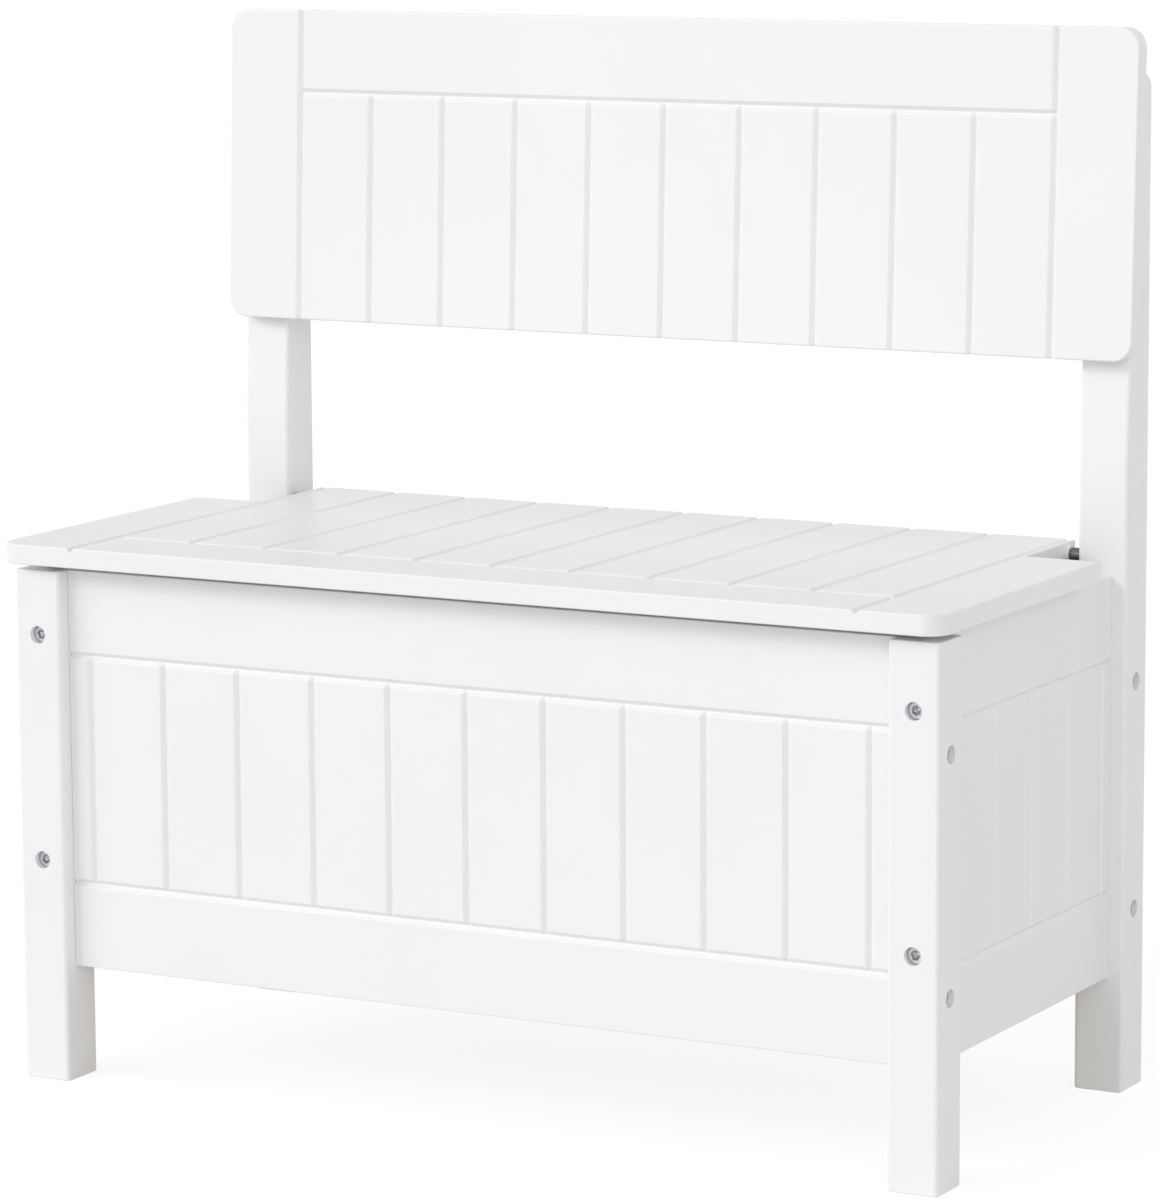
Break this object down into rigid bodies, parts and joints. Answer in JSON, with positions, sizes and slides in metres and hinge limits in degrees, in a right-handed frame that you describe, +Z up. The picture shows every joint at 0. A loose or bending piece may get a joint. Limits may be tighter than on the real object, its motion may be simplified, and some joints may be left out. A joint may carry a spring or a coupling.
{
  "type": "toy storage bench",
  "caption": "Child's bench on square legs, with a storage box under a hinged, grooved lid and a grooved backrest between leaning rear posts.",
  "frame": {"origin": "on the floor, under the middle of the bench's outer box", "axes": "+X to the sitter's left, along the bench; +Y from the front to the backrest; +Z up"},
  "size_m": [0.61, 0.3, 0.625],
  "materials": {
    "white_paint": "white satin paint on board and solid wood",
    "bare_wood": "unpainted plywood, softwood and beech",
    "zinc_steel": "bright zinc plate",
    "white_nylon": "moulded, smooth",
    "soft_pad": "soft, translucent white, matt"
  },
  "bodies": {
    "bench": {"front_leg_left": "white_paint", "front_leg_right": "white_paint", "rear_post_left": "white_paint", "rear_post_right": "white_paint", "front_panel": "white_paint", "back_panel": "white_paint", "side_panel_left": "white_paint", "side_panel_right": "white_paint", "floor_board": "bare_wood", "floor_cleat_front": "bare_wood", "floor_cleat_rear": "bare_wood", "backrest": "white_paint", "hinge_pin_left": "zinc_steel", "hinge_pin_right": "zinc_steel", "stay_stud_left": "zinc_steel", "stay_stud_right": "zinc_steel", "stay_washer_left": "white_nylon", "stay_washer_right": "white_nylon", "frame_bolts": "zinc_steel", "barrel_nuts": "zinc_steel", "dowels": "bare_wood", "backrest_screws": "zinc_steel", "cleat_screws": "zinc_steel", "lid_pads": "soft_pad"},
    "lid": {"lid": "white_paint", "hinge_bush_left": "white_nylon", "hinge_bush_right": "white_nylon", "stay_bracket_left": "zinc_steel", "stay_bracket_right": "zinc_steel", "stay_rivet_left": "zinc_steel", "stay_rivet_right": "zinc_steel", "bracket_screws": "zinc_steel"},
    "stay_left": {"stay_arm_left": "zinc_steel"},
    "stay_right": {"stay_arm_right": "zinc_steel"}
  },
  "joints": [
    {"name": "lid_hinge", "type": "hinge", "parent": "bench", "child": "lid", "pos_m": [0, 0.127, 0.317], "axis": [-1, 0, 0], "range_deg": [0, 70]},
    {"name": "stay_left_pivot", "type": "hinge", "parent": "lid", "child": "stay_left", "pos_m": [-0.2755, 0.02294, 0.303], "axis": [1, 0, 0], "range_deg": [0, 35]},
    {"name": "stay_right_pivot", "type": "hinge", "parent": "lid", "child": "stay_right", "pos_m": [0.2755, 0.02294, 0.303], "axis": [1, 0, 0], "range_deg": [0, 35]}
  ],
  "couplings": [
    {"joint": "stay_left_pivot", "follows": "lid_hinge", "ratio": 0.5},
    {"joint": "stay_right_pivot", "follows": "lid_hinge", "ratio": 0.5}
  ]
}
